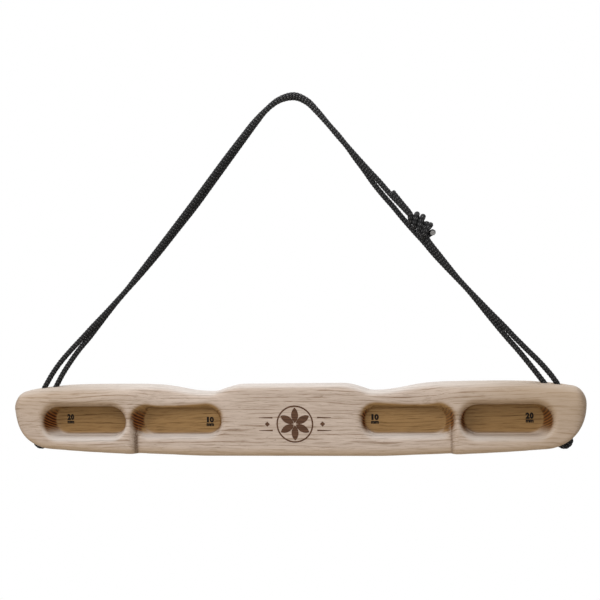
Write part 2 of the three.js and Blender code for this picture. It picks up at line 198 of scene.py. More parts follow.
def start_material(name):
    """A new material, its surface shader, and its Object coordinates in millimetres."""
    material = bpy.data.materials.new(name)
    material.use_nodes = True
    tree = material.node_tree
    surface = tree.nodes["Principled BSDF"]
    place = Shade(tree, tree.nodes.new("ShaderNodeTexCoord").outputs["Object"])
    print("material", name)
    return material, surface, place.stretched(1 / MM, 1 / MM, 1 / MM)


def feed(surface, name, value):
    surface.id_data.links.new(value.socket, surface.inputs[name])


# %% [markdown]
# ## Beech
#
# Beech is pale and pinkish, with faint growth rings and thousands of short brown flecks that lie
# along the grain. The pattern is made in solid space, so that it runs through the bar: the rings
# come out as long lines on the face and as contour lines where the pads slope away. A tree's rings
# are nearly flat layers at this size, and slow noise bends them. Each kind of mark is noise with its
# own number of waves in a millimetre along three axes, the fewest along X, because that is how the
# bar was sawn. A mark's edge is the stretch of its noise over which the mark fades in or out.

# %% The marks of the grain
RING_SPACING = 3.5
RING_LEAN = math.radians(24)
RING_WARP = 1.5
RING_EDGE = (0.05, 0.17)
BEND_WAVES, BEND_REACH = (0.006, 0.016, 0.016), 12
WANDER_WAVES, WANDER_REACH = (0.03, 0.09, 0.09), 2.6
BROAD_WAVES = (0.008, 0.16, 0.05)
SEGMENT_WAVES, SEGMENT_START, SEGMENT_EDGE = (0.026, 0.3, 0.1), (3, 5, 9), (0.4, 0.58)
RAY_WAVES, RAY_EDGE = (0.016, 0.4, 0.1), (0.003, 0.03)
HAIR_WAVES, HAIR_EDGE = (0.06, 1.5, 0.4), (0.48, 0.66)
FLECK_WAVES, FLECK_EDGE = (0.16, 0.9, 0.9), (0.65, 0.74)


def beech_grain(place):
    """Four kinds of grain, broad rings, lines, hairs and flecks, and how far the rings wander."""
    x, y, z = place.parts()
    bend = place.stretched(*BEND_WAVES).noise(1, detail=1) - 0.5
    wander = place.stretched(*WANDER_WAVES).noise(1, detail=2) - 0.5
    across = z * math.cos(RING_LEAN) + y * math.sin(RING_LEAN) + bend * BEND_REACH + wander * WANDER_REACH
    sheet = x.joined(across, y * math.cos(RING_LEAN) - z * math.sin(RING_LEAN))
    broad = sheet.stretched(*BROAD_WAVES).noise(1, detail=3, roughness=0.55)
    ring = (across / RING_SPACING + broad * RING_WARP).maths("FRACT")
    ring_lines = 1 - (ring - 0.5).maths("ABSOLUTE").step(*RING_EDGE)
    segments = sheet.stretched(*SEGMENT_WAVES).moved(SEGMENT_START).noise(1, detail=2).step(*SEGMENT_EDGE)
    rays = sheet.stretched(*RAY_WAVES).noise(1, detail=3, roughness=0.55)
    ray_lines = 1 - (rays - 0.5).maths("ABSOLUTE").step(*RAY_EDGE)
    lines = ring_lines * segments + ray_lines * 0.5
    hairs = sheet.stretched(*HAIR_WAVES).noise(1, detail=3, roughness=0.6).step(*HAIR_EDGE)
    flecks = place.stretched(*FLECK_WAVES).noise(1, detail=2, roughness=0.7).step(*FLECK_EDGE)
    return broad, lines, hairs, flecks, wander


# %% Sanded beech
BEECH_PALE = (0.62, 0.512, 0.437, 1)
BEECH_DEEP = (0.49, 0.392, 0.322, 1)
BEECH_LINE = (0.245, 0.165, 0.108, 1)
BEECH_FLECK = (0.15, 0.09, 0.055, 1)
BROAD_EDGE = (0.34, 0.66)
CLOUD_WAVES, CLOUD_START, CLOUD_EDGE = (0.008, 0.03, 0.03), (7, 3, 1), (0.3, 0.7)


def sanded_beech(place, broad, lines, hairs, flecks):
    """The colour of fresh beech: pale and deep bands with clouds, then lines, hairs and flecks."""
    clouds = place.stretched(*CLOUD_WAVES).moved(CLOUD_START).noise(1, detail=2).step(*CLOUD_EDGE)
    wood = (broad.step(*BROAD_EDGE) * 0.45 + clouds * 0.3).colour(BEECH_PALE, BEECH_DEEP)
    wood = (lines * 0.62 + hairs * 0.34).colour(wood, BEECH_LINE)
    return (flecks * 0.45).colour(wood, BEECH_FLECK)


# %% [markdown]
# ## Painted light and shade, and what tools did to the wood
#
# Not all of the board's colour can be said in solid space. Seven attributes come from the mesh
# instead. They tell the wood where it faces up and where a lower lip faces the light, which are
# painted paler as painted highlights. They tell it where the bottom edge and the ends take painted
# shade, where it is end grain, deep in a pocket, in a pocket's corner or in a crease, which is
# darker: painted shade, with the real end grain and a scorch mark in the crease. Each step lays one
# colour over the last, as thickly as its mask says.

# %% Painted light and marks on beech
# A painted highlight, three painted shades, end-grain hatching and a scorch that also holds painted shade.
BEECH_HIGHLIGHT = (0.76, 0.74, 0.73, 1)
BEECH_SHADED = (0.42, 0.3, 0.19, 1)
POCKET_SHADE_BROWN = (0.3, 0.17, 0.058, 1)
POCKET_SHADE_LINE = (0.105, 0.05, 0.012, 1)
END_GRAIN_BROWN = (0.035, 0.006, 0.001, 1)
END_GRAIN_RED = (0.22, 0.075, 0.015, 1)
CREASE_SCORCH_SHADE = (0.1, 0.055, 0.028, 1)
HIGHLIGHT_EDGE = (0.45, 1)
PORE_WAVES, PORE_EDGE = (0.3, 1.3, 1.3), (0.42, 0.6)
HATCH_LEAN, HATCH_EDGE = 0.5, (-0.5, 0.7)
HATCH_TURNS, HATCH_WANDER = 2.2, 3
TICK_WAVES, TICK_EDGE = (0.5, 0.5, 0.9), (0.35, 0.6)


def burnt_end_grain(place, wander):
    """Red and brown hatching, as a saw and a hot cutter leave it on end grain."""
    y, z = place.parts()[1:]
    hatch = (y * HATCH_LEAN + z) * HATCH_TURNS + wander * HATCH_WANDER
    return hatch.maths("SINE").step(*HATCH_EDGE).colour(END_GRAIN_BROWN, END_GRAIN_RED)


def beech_light_and_marks(wood, place, lines, hairs, wander):
    """Lays painted highlights and shade, end grain and scorch over the wood, where the mesh says."""
    # Faces that look up and the lower lips are painted paler: painted highlights.
    facing_up = place.from_mesh("facing_up").step(*HIGHLIGHT_EDGE)
    wood = (facing_up * 0.5 + place.from_mesh("lip_highlight") * 0.4).colour(wood, BEECH_HIGHLIGHT)
    # The bottom edge and the ends are painted darker: painted shade.
    wood = (place.from_mesh("edge_and_end_shade") * 0.75).colour(wood, BEECH_SHADED)

    # The walls and upper lips of the pockets are painted brown with darker grain lines: painted shade.
    shade_share = place.from_mesh("pocket_painted_shade")
    brown = (lines * 0.5 + hairs * 0.4).colour(POCKET_SHADE_BROWN, POCKET_SHADE_LINE)
    wood = (shade_share * 0.95).colour(wood, brown)
    # The back corners of the pockets get a dark line of painted shade.
    wood = (place.from_mesh("corner_shade") * 0.6).colour(wood, POCKET_SHADE_LINE)

    # End grain is darker; in the pockets it follows the painted shade, so there it is partly painted shade.
    end_grain_and_shade = place.from_mesh("end_grain_and_shade")
    pores = place.stretched(*PORE_WAVES).noise(1, detail=2, roughness=0.6).step(*PORE_EDGE)
    wood = (end_grain_and_shade * shade_share).colour(wood, burnt_end_grain(place, wander))
    wood = (end_grain_and_shade * (1 - shade_share) * (0.12 + pores * 0.25)).colour(wood, BEECH_LINE)
    # The creases are darkened by a scorch mark and by painted shade.
    ticks = place.stretched(*TICK_WAVES).noise(1, detail=2).step(*TICK_EDGE)
    return (place.from_mesh("scorch_and_shade") * (0.3 + ticks * 0.5)).colour(wood, CREASE_SCORCH_SHADE)


# %% The beech material
GRAIN_RELIEF = 0.1


def beech():
    material, surface, place = start_material("beech")
    broad, lines, hairs, flecks, wander = beech_grain(place)
    wood = sanded_beech(place, broad, lines, hairs, flecks)
    feed(surface, "Base Color", beech_light_and_marks(wood, place, lines, hairs, wander))
    feed(surface, "Roughness", 0.52 + lines * 0.12 + flecks * 0.1)
    relief = 1 - lines * 0.4 - hairs * 0.2 - flecks * 0.5
    feed(surface, "Normal", relief.bump(GRAIN_RELIEF * MM, strength=0.5))
    surface.inputs["Specular IOR Level"].default_value = 0.15
    return material


beech_material = beech()

# %% [markdown]
# ## The board
#
# The solid in the frame has the right form, but its curves are cut in flat strips. A sander would
# take those off. Here a copy is merged, remeshed into even small squares and relaxed, which rounds
# every strip away and leaves soft transitions, as an orbital sander does. Smoothing also eats into
# tight edges, so it stops after a dozen passes, and a vertex group holds it back in the two creases
# where the pads begin, which no sander reaches.

# %% Helpers to select and finish


def select_only(piece):
    bpy.ops.object.select_all(action="DESELECT")
    piece.select_set(True)
    bpy.context.view_layer.objects.active = piece


def apply_modifier(piece, kind, **settings):
    select_only(piece)
    modifier = piece.modifiers.new(kind.lower(), kind)
    for name, value in settings.items():
        setattr(modifier, name, value)
    bpy.ops.object.modifier_apply(modifier=modifier.name)


def merge_doubles(piece, distance):
    select_only(piece)
    bpy.ops.object.mode_set(mode="EDIT")
    bpy.ops.mesh.select_all(action="SELECT")
    bpy.ops.mesh.remove_doubles(threshold=distance)
    bpy.ops.object.mode_set(mode="OBJECT")


def finish_piece(piece, material, body):
    piece.data.materials.clear()
    piece.data.materials.append(material)
    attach(piece, body)


# %% Read and write a mesh in rows
foot = np.array(on_board(0, 0, 0))


def vertex_rows(mesh, what):
    rows = np.zeros(len(mesh.vertices) * 3, np.float32)
    mesh.vertices.foreach_get(what, rows)
    return rows.reshape(-1, 3).astype(float)


def millimetres_from_foot(mesh):
    """Three rows of numbers: how far every point lies along the board, into it and up it."""
    return ((vertex_rows(mesh, "co") - foot) / MM).T


def add_attribute(mesh, name, values):
    attribute = mesh.attributes.new(name, "FLOAT", "POINT")
    attribute.data.foreach_set("value", values.astype(np.float32))
    print("attribute", name, "is", round(float(values.mean()), 3), "on average")


def smooth_step(values, low, high):
    """0 below low, 1 above high and smooth between them."""
    share = np.clip((values - low) / (high - low), 0, 1)
    return share * share * (3 - 2 * share)


def bell(values, middle, width):
    """1 at the middle, fading away on both sides."""
    return np.exp(-(((values - middle) / width) ** 2))


# %% Sand a copy of the board
MERGE_DISTANCE = 0.02
VOXEL = 1.22
SANDING_PASSES = 12
PAD_START = 158.5
CREASE_TOP = 24
CREASE_REACH = 2.2
CREASE_WEIGHT = 0.2

board = bpy.data.objects.new("beech_board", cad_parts["board"].data.copy())
bpy.context.scene.collection.objects.link(board)
merge_doubles(board, MERGE_DISTANCE * MM)
apply_modifier(board, "REMESH", mode="VOXEL", voxel_size=VOXEL * MM)
along, depth, height = millimetres_from_foot(board.data)
in_crease = (np.abs(np.abs(along) - PAD_START) < CREASE_REACH) & (height < CREASE_TOP)
sanded = board.vertex_groups.new(name="sanded")
sanded.add(np.flatnonzero(~in_crease).tolist(), 1, "REPLACE")
sanded.add(np.flatnonzero(in_crease).tolist(), CREASE_WEIGHT, "REPLACE")
apply_modifier(board, "SMOOTH", factor=0.5, iterations=SANDING_PASSES, vertex_group="sanded")
board.vertex_groups.clear()
board.data.shade_smooth()
print("board faces:", len(board.data.polygons))

# %% [markdown]
# ## Where the pockets are
#
# Each pocket is a slot with round ends. Its distance formula says how far a point lies outside the
# slot, so a point counts as deep in a pocket when it is inside the outline and behind the face. The
# face itself follows from the pads: a rounded step low down, and a long slope higher up.

# %% Measure every point of the board against its face and its pockets
# Each pocket gives its lower lip's share of painted highlight and its upper lip's share of painted shade.
POCKETS = [
    {"x": 212.5, "z": 36.55, "half_width": 42.8, "radius": 15.05, "highlight_share": 1, "shade_share": 0.5},
    {"x": 116.75, "z": 35.4, "half_width": 44.75, "radius": 14.1, "highlight_share": 0.5, "shade_share": 1},
]
PAD_EDGE_RUN = 11.5
PAD_SLOPE_START, PAD_SLOPE_RUN = 122, 52
SLOPE_LOW, SLOPE_HIGH = 21.3, 49.5


def face_depth(x, z):
    """How far the face lies behind the pads."""
    edge = np.clip(1 - (x - PAD_START) / PAD_EDGE_RUN, 0, 1)
    low = np.where(x < PAD_START, 1, 1 - np.sqrt(1 - edge * edge))
    high = 1 - smooth_step(x, PAD_SLOPE_START, PAD_SLOPE_START + PAD_SLOPE_RUN)
    return MIDDLE_FACE * (low + (high - low) * smooth_step(z, SLOPE_LOW, SLOPE_HIGH))


def outside_slot(x, z, pocket):
    """How far outside a pocket's outline each point lies, in millimetres."""
    past_middle = np.maximum(np.abs(x - pocket["x"]) - pocket["half_width"] + pocket["radius"], 0)
    return np.hypot(past_middle, z - pocket["z"]) - pocket["radius"]


along, depth, height = millimetres_from_foot(board.data)
facing = vertex_rows(board.data, "normal")
facing_x, facing_z = facing[:, 0], facing[:, 2]
reach = np.abs(along)
sunk = depth - face_depth(reach, height)
outlines = [outside_slot(reach, height, pocket) for pocket in POCKETS]
print("points inside each pocket's outline:", [int((outside < 0).sum()) for outside in outlines])

# %% [markdown]
# ## Marking the wood
#
# The wall of a pocket is painted brown as painted shade. Its floor looks up into the light and stays
# paler than the wall behind it. The lip above a pocket gets painted shade too, and the lip below it
# a painted highlight. In the creases the cutter turned on the spot and left a scorch mark in the
# corner, and painted shade darkens them further, less on the right. The end walls that look left
# catch more light, so their dark end grain and burn are painted weaker, as painted light. The
# bottom edge and the board's ends are painted darker as painted shade, most of all at the right
# end. Each of these is worked out for every point and kept as an attribute.

# %% Paint shade into the pockets and onto their upper lips
LIP = 5
OUTLINE_FADE = (-0.3, LIP)
SUNK_FADE = (0.5, LIP + 2)
BEHIND_WALL = POCKET_BACK + 2
FLOOR_SHARE = 0.93
FLOOR_FACING = (0.2, 0.9)
UPPER_LIP_FACING = (-0.1, 0.45)
UPPER_LIP_FADE = (3, LIP + 5)
UPPER_LIP_START = -1

# Painted shade on the walls of each pocket and on its upper lip; the floors, which look up, get little.
pocket_painted_shade = np.zeros(len(reach))
for outside in outlines:
    inside = 1 - smooth_step(outside, *OUTLINE_FADE)
    pocket_painted_shade = np.maximum(pocket_painted_shade, inside * smooth_step(sunk, *SUNK_FADE))
pocket_painted_shade *= depth < BEHIND_WALL
pocket_painted_shade *= 1 - FLOOR_SHARE * smooth_step(facing_z, *FLOOR_FACING)
for pocket, outside in zip(POCKETS, outlines):
    upper_lip = smooth_step(-facing_z, *UPPER_LIP_FACING) * (1 - smooth_step(outside, *UPPER_LIP_FADE))
    pocket_painted_shade = np.maximum(pocket_painted_shade, pocket["shade_share"] * upper_lip * (outside > UPPER_LIP_START))
add_attribute(board.data, "pocket_painted_shade", pocket_painted_shade)

# %% Paint highlights on the lower lips and shade into the corners
LOWER_LIP_MIDDLE, LOWER_LIP_WIDTH = 3.3, 2
LOWER_LIP_FACING = (0.1, 0.5)
LOWER_LIP_DEPTH = 9
CORNER_MIDDLE, CORNER_WIDTH = -1.2, 0.9
CORNER_FADE = (POCKET_BACK - 2, POCKET_BACK - 0.6)

# A painted highlight along each lower lip, which looks up into the light.
corner_shade = np.zeros(len(reach))
lip_highlight = np.zeros(len(reach))
for pocket, outside in zip(POCKETS, outlines):
    lower_lip = bell(outside, LOWER_LIP_MIDDLE, LOWER_LIP_WIDTH) * smooth_step(facing_z, *LOWER_LIP_FACING)
    lip_highlight = np.maximum(lip_highlight, lower_lip * (sunk < LOWER_LIP_DEPTH) * pocket["highlight_share"])
    corner_shade = np.maximum(corner_shade, bell(outside, CORNER_MIDDLE, CORNER_WIDTH))
# Painted shade: a dark line in the back corners of each pocket.
corner_shade *= smooth_step(depth, *CORNER_FADE) * (depth < BEHIND_WALL)
add_attribute(board.data, "facing_up", facing_z)
add_attribute(board.data, "lip_highlight", lip_highlight)
add_attribute(board.data, "corner_shade", corner_shade)

# %% Scorch and shade the creases, and show the end grain
SCORCH_OFFSET, SCORCH_WIDTH = 0.8, 1.5
SCORCH_FADE = (22, 34)
RIGHT_CREASE_SHARE = 0.55
END_GRAIN_FACING = (0.4, 0.85)
LIT_DEEP_SHARE, LIT_SHALLOW_SHARE = 0.85, 0.55

# The crease mark is a scorch and painted shade; it is weaker on the right, which faces the lamp.
scorch_and_shade = bell(reach, PAD_START + SCORCH_OFFSET, SCORCH_WIDTH) * (1 - smooth_step(height, *SCORCH_FADE))
scorch_and_shade *= (depth < MIDDLE_FACE + 1) * np.where(along > 0, RIGHT_CREASE_SHARE, 1)
add_attribute(board.data, "scorch_and_shade", scorch_and_shade)

# End grain is real, but the end walls that look left get less of its dark colour, as painted light.
end_grain_and_shade = smooth_step(np.abs(facing_x), *END_GRAIN_FACING)
lit_wall = (facing_x < 0) & (pocket_painted_shade > 0)
lit_share = np.where(reach > PAD_START, LIT_DEEP_SHARE, LIT_SHALLOW_SHARE)
end_grain_and_shade *= np.where(lit_wall, lit_share, 1)
add_attribute(board.data, "end_grain_and_shade", end_grain_and_shade)

# %% Paint shade on the bottom edge and the ends
COLUMN_WIDTH = 3
BOTTOM_SHADE_FADE = (2, 11)
BOTTOM_SHADE_DEPTH = 30
END_SHADE_FADE = (110, 260)
NEAR_TOP = (25, 60)
RIGHT_SHADE_BASE, RIGHT_SHADE_NEAR_TOP = 0.65, 0.2
LEFT_SHADE_BASE, LEFT_SHADE_NEAR_TOP = 0.15, 0.35


def height_above_edge(along, height):
    """How far each point stands above the bottom edge, whose lowest point is found column by column."""
    columns = np.round(along / COLUMN_WIDTH).astype(int)
    first_column = columns.min()
    lowest = np.full(columns.max() - first_column + 1, np.inf)
    np.minimum.at(lowest, columns - first_column, height)
    column_middles = (np.arange(len(lowest)) + first_column) * COLUMN_WIDTH
    return height - np.interp(along, column_middles, lowest)


# Painted shade along the bottom edge and at the ends, most at the right end.
bottom_edge_shade = 1 - smooth_step(height_above_edge(along, height), *BOTTOM_SHADE_FADE)
near_top = smooth_step(height, *NEAR_TOP)
right_end_shade = smooth_step(along, *END_SHADE_FADE) * (RIGHT_SHADE_BASE + RIGHT_SHADE_NEAR_TOP * near_top)
left_end_shade = smooth_step(-along, *END_SHADE_FADE) * (LEFT_SHADE_BASE + LEFT_SHADE_NEAR_TOP * near_top)
edge_and_end_shade = np.maximum(np.maximum(bottom_edge_shade * (depth < BOTTOM_SHADE_DEPTH), right_end_shade), left_end_shade)
add_attribute(board.data, "edge_and_end_shade", edge_and_end_shade)
finish_piece(board, beech_material, "board")
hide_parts("board")

# %% [markdown]
# ## The cord's line
#
# A cord is a line first. The points below follow those of the model, where the cord's contact with
# its neighbours and the board is already settled. Some are moved by a millimetre or two, so that the
# outline of the pair and the light between the two strands are those of the photograph. A
# centripetal Catmull-Rom curve runs through the points without overshooting, and is cut into even
# steps so that the braid keeps its pitch.

# %% A smooth line through points
CURVE_STEPS = 24


def smooth_line(points, spacing):
    """Evenly spaced points, in metres, along the curve through points in millimetres."""
    p = np.array(points, float)
    p = np.vstack([2 * p[0] - p[1], p, 2 * p[-1] - p[-2]])
    gaps = np.sqrt(np.linalg.norm(np.diff(p, axis=0), axis=1))[:, None]
    before, here, after = gaps[:-2], gaps[1:-1], gaps[2:]
    p0, p1, p2, p3 = p[:-3], p[1:-2], p[2:-1], p[3:]
    leave = here * ((p1 - p0) / before - (p2 - p0) / (before + here) + (p2 - p1) / here)
    arrive = here * ((p2 - p1) / here - (p3 - p1) / (here + after) + (p3 - p2) / after)
    t = np.linspace(0, 1, CURVE_STEPS, endpoint=False)[:, None, None]
    curve = (2 * t**3 - 3 * t**2 + 1) * p1 + (3 * t**2 - 2 * t**3) * p2
    curve = curve + (t**3 - 2 * t**2 + t) * leave + (t**3 - t**2) * arrive
    curve = np.vstack([curve.transpose(1, 0, 2).reshape(-1, 3), p[-2]])
    run = np.concatenate([[0], np.cumsum(np.linalg.norm(np.diff(curve, axis=0), axis=1))])
    even = np.linspace(0, run[-1], max(2, round(run[-1] / spacing)) + 1)
    return np.stack([np.interp(even, run, curve[:, axis]) for axis in range(3)], axis=1) * MM


# %% The routes of the sling
UPPER_ROUTE = [
    (-271.8, 0, -284.7), (-262.8, 0, -270.6), (-253, -0.5, -258.2), (-241.2, -1, -245.9),
    (-228.6, -1.6, -233.7), (-216.1, -2.4, -221.5), (-203.2, -2.8, -209.3), (-190.9, -2.9, -197.2),
    (-179.1, -2.9, -185.1), (-168.9, -2.9, -173.1), (-148.7, -2.9, -149.1), (-128.8, -2.7, -125.2),
    (-109.2, -2.6, -101.5), (-90.2, -2.6, -78), (-71.2, -2.7, -54.6), (-51.5, -2.9, -31.4),
    (-41.4, -2.9, -19.8), (-29, -2.9, -8.4), (-15.5, -2.9, 1.6), (0, -2.9, 5.4), (13, -2.9, -0.6),
    (22.5, -2.9, -10.8), (32.1, -2.9, -23), (41.6, -2.9, -35.3), (51.8, -2.9, -47.5),
    (62.1, -2.9, -59.7), (72.4, -2.9, -71.7), (82.9, -2.9, -83.5), (93.1, -3, -95.8),
    (103.4, -3.4, -107.1), (112.1, -3.6, -116.7),
]
LOWER_ROUTE = [
    (251.2, 0, -284.7), (244.7, 0, -275.5), (234.7, 0, -263.7), (223.3, -0.5, -251.9),
    (212.1, -1, -240.1), (201.4, -1.9, -228.2), (190.1, -2.6, -216.3), (179.1, -2.9, -204.4),
    (168, -2.9, -192.4), (157.7, -2.9, -180.5), (148.6, -2.9, -168.6), (139.8, -3, -156.8),
    (133.4, -3.4, -148.3), (129.1, -3.6, -141.9),
]
INNER_ROUTE = [
    (-259.8, 0, -284.7), (-251.5, 0, -270.7), (-242.9, 0.5, -258.3), (-233.3, 1, -246),
    (-222.3, 1.6, -233.8), (-212.2, 2.4, -221.5), (-202.2, 2.8, -209.3), (-191.8, 2.9, -197.2),
    (-180.5, 2.9, -185.1), (-168.6, 2.9, -173.1), (-146.2, 2.8, -149.2), (-125.4, 2.6, -125.3),
    (-105, 2.5, -101.7), (-86.3, 2.5, -78.2), (-67.8, 2.6, -54.8), (-49.4, 2.8, -31.5),
    (-40, 2.9, -19.7), (-29.4, 2.9, -7.6), (-15.6, 2.9, 1.3), (0, 2.9, 3.25), (12, 2.9, -2.2),
    (21.7, 2.9, -11.8), (31.8, 2.9, -23.4), (42.1, 2.9, -35.3), (51.2, 2.9, -47.5),
    (59.4, 2.9, -59.7), (67.9, 2.9, -71.8), (76.1, 3, -84.1), (85.3, 3.1, -96.2),
    (95.3, 3.2, -108.2), (104.8, 3.4, -120.3), (114.7, 3.5, -132.3), (125.2, 3.4, -144.4),
    (134.8, 3.2, -156.4), (145.4, 2.9, -168.4), (156.5, 2.9, -180.5), (167.2, 2.9, -192.4),
    (176.5, 2.9, -204.3), (185.5, 2.6, -216.2), (194.7, 1.9, -228.1), (204.3, 1, -240),
    (214.2, 0.5, -251.8), (223.5, 0, -263.6), (232.4, 0, -275.4), (239.2, 0, -284.7),
]
print("points chosen by hand:", len(UPPER_ROUTE), len(LOWER_ROUTE), len(INNER_ROUTE))

# %% [markdown]
# ## The knot
#
# The loop is closed with a double fisherman's knot: each cord passes straight through the other's
# coil, then winds twice round it and comes out as a tail. So the knot needs no mesh of its own. The
# two cords simply go on, along lines that are written in the knot's frame: along it, outwards from
# the sling, and towards the climber. A coil swings between an inner and an outer extreme, half a
# turn apart, and passes in front of the knot and behind it by turns.

# %% The knot's own frame
KNOT_MIDDLE = np.array((121.35, -3.6, -128.7))
KNOT_ALONG = np.array((0.603, 0, -0.798))
KNOT_OUT = np.array((0.798, 0, 0.603))
KNOT_FRONT = np.array((0, -1, 0))
COIL_FRONT = 4.7
WIDE_COIL_FRONT = 6.2
COIL_STEPS = 4


def in_knot(along, out, front):
    return tuple(KNOT_MIDDLE + along * KNOT_ALONG + out * KNOT_OUT + front * KNOT_FRONT)


def coil(extremes, side, front):
    """Points of a coil after its first extreme. Side 1 starts in front of the knot, -1 behind it."""
    points = []
    for (along, out), (next_along, next_out) in zip(extremes, extremes[1:]):
        for step in range(1, COIL_STEPS + 1):
            angle = math.pi * step / COIL_STEPS
            share = (1 - math.cos(angle)) / 2
            here = (along + share * (next_along - along), out + share * (next_out - out))
            points.append(in_knot(*here, side * front * math.sin(angle)))
        side = -side
    return points


# %% Lines through the knot
UPPER_INTO_KNOT = [
    (-9.5, 0.7, 0), (-5, 1.2, -0.3), (-1.8, 1.4, -1.2), (0.6, 2.5, -2.8), (1.5, 4.4, -3.5),
    (2.2, 6.2, -2.9), (2.7, 7.3, -1.2),
]
UPPER_COIL = [(2.8, 7.3), (7.4, -3.3), (5.8, 9.4), (10.2, -3.4)]
SHORT_TAIL = [
    (11.1, -2.4, -2.8), (12.2, 0.8, -4), (12.5, 4.2, -2.9), (12.4, 6.2, -0.4), (12.9, 6.9, 2.4),
    (13.8, 6.4, 5.2),
]
LOWER_INTO_KNOT = [
    (12.3, -0.9, -0.4), (9.6, -0.9, -0.9), (7.2, -2.3, -1), (5.2, -3.6, 0.3), (3.8, -3.4, 2.6),
]
LOWER_WIDE_COIL = [(4.2, -3.8), (-5.2, 8.9)]
LOWER_COIL = [(-5.2, 8.9), (-2.4, -4), (-10.6, 5.8), (-8.2, -3.8)]
LONG_TAIL = [
    (-9.2, -3.6, 2.8), (-11.7, -1.4, 4.7), (-15.2, 0.7, 5.5), (-20, 0.9, 5.6), (-27, 0.7, 5.3),
    (-35, 0.6, 4.6), (-42.6, 0.5, 3.6),
]

upper_line = UPPER_ROUTE + [in_knot(*place) for place in UPPER_INTO_KNOT]
upper_line += coil(UPPER_COIL, 1, COIL_FRONT)
upper_line += [in_knot(*place) for place in SHORT_TAIL]
lower_line = LOWER_ROUTE + [in_knot(*place) for place in LOWER_INTO_KNOT]
lower_line += coil(LOWER_WIDE_COIL, 1, WIDE_COIL_FRONT)
lower_line += coil(LOWER_COIL, -1, COIL_FRONT)
lower_line += [in_knot(*place) for place in LONG_TAIL]
print("points with the knot:", len(upper_line), len(lower_line))

# %% [markdown]
# ## The loops inside the board
#
# In each end of the board the cord goes down one slanted hole, turns under the board and comes up
# the other. The stretch outside the board shows from below. Its line follows from the two mouths on
# top, the lean of the holes and the depth of the turn, as in the model.

# %% Lines through the board's ends
CORD_DIAMETER = 5.5
HOLE_SPACING = 12
OUTER_HOLE = 261.5
MOUTH_HEIGHT = 70.3
HOLE_LEAN = math.radians(12)
TURN_DEPTH = 58.4
TURN_STEP = 20
CORD_DEPTH = 24.1


def loop_line(side):
    """The way of the cord through one end of the board; side 1 is the right end."""
    down = np.array((side * math.sin(HOLE_LEAN), 0, -math.cos(HOLE_LEAN)))
    across = np.array((side * math.cos(HOLE_LEAN), 0, math.sin(HOLE_LEAN)))
    inner = np.array(on_board(side * (OUTER_HOLE - HOLE_SPACING), CORD_DEPTH, MOUTH_HEIGHT)) / MM
    outer = np.array(on_board(side * OUTER_HOLE, CORD_DEPTH, MOUTH_HEIGHT)) / MM
    radius = HOLE_SPACING * math.cos(HOLE_LEAN) / 2
    centre = inner + across * radius + down * TURN_DEPTH
    arc = []
    for degrees in range(0, 180 + TURN_STEP, TURN_STEP):
        angle = math.radians(degrees)
        arc.append(centre - across * radius * math.cos(angle) + down * radius * math.sin(angle))
    return [inner, (inner + arc[0]) / 2, *arc, (outer + arc[-1]) / 2, outer]


print("radius of the turn in mm:", round(HOLE_SPACING * math.cos(HOLE_LEAN) / 2, 2))

# %% [markdown]
# ## Braiding a tube
#
# A braided sheath has strands winding both ways, each passing over two and under two. In the frame
# of the tube that is a lattice: one coordinate counts the strands of one hand, the other counts the
# strands of the other hand. Where a strand is on top its crown stands out, and the crown's height is
# also kept as an attribute, so that the material can paint the crowns paler and the gaps between
# strands dark: painted highlight and painted shade.

# %% The height of the braid
BRAID_STRANDS = 8
BRAID_PITCH = 26.4
BRAID_RELIEF = 0.9
BRAID_SWELL = 0.16


def braid_crown(turns, run):
    """Height of the braid, 0 in a gap to 1 on a crown, at a share of a turn and a length."""
    one = BRAID_STRANDS * (run / BRAID_PITCH + turns)
    two = BRAID_STRANDS * (run / BRAID_PITCH - turns)
    on_top = (np.floor(one) + np.floor(two)) % 4
    across_one, across_two = one % 1, two % 1
    over_one = (on_top + across_two) / 2
    over_two = (on_top - 2 + across_one) / 2
    crown_one = np.sin(np.pi * across_one) * np.sin(np.pi * np.clip(over_one, 0, 1)) ** 0.5
    crown_two = np.sin(np.pi * across_two) * np.sin(np.pi * np.clip(over_two, 0, 1)) ** 0.5
    return np.where(on_top < 2, crown_one, crown_two) ** 0.7


# %% [markdown]
# ## A tube along a line
#
# The tube is a stack of rings. Each ring stands square to the line, on two directions that are
# carried along it without twisting, so the braid doesn't wring itself up in the knot. A few
# shrinking rings and a fan of triangles close each end: round where the cord runs on in the next
# piece, and nearly flat where it was cut.

# %% Directions across the line, and the rings on them
CORD_SIDES = 32
CORD_SPACING = 0.6
ROUND_CAP = [(math.sin(angle), math.cos(angle)) for angle in np.radians((18, 36, 54, 72))]
CUT_CAP = [(0.06, 0.97), (0.12, 0.88), (0.14, 0.6), (0.13, 0.3)]
TURN_SHARES = np.arange(CORD_SIDES) / CORD_SIDES


def cord_frames(line):
    """The line's direction at every point, and two directions across it that never twist."""
    tangents = np.gradient(line, axis=0)
    tangents /= np.linalg.norm(tangents, axis=1)[:, None]
    side = np.cross(tangents[0], (0, 1, 0))
    sides = []
    for tangent in tangents:
        side = side - side.dot(tangent) * tangent
        side = side / np.linalg.norm(side)
        sides.append(side)
    sides = np.array(sides)
    return tangents, sides, np.cross(tangents, sides)


def ring_places(line, tangents, end_cap):
    """For every ring: its centre, the point of the line that it belongs to, and its share of width."""
    radius = CORD_DIAMETER / 2 * MM
    rings = [(line[0] - tangents[0] * radius * on, 0, wide) for on, wide in reversed(ROUND_CAP)]
    rings += [(point, i, 1) for i, point in enumerate(line)]
    rings += [(line[-1] + tangents[-1] * radius * on, -1, wide) for on, wide in end_cap]
    return rings


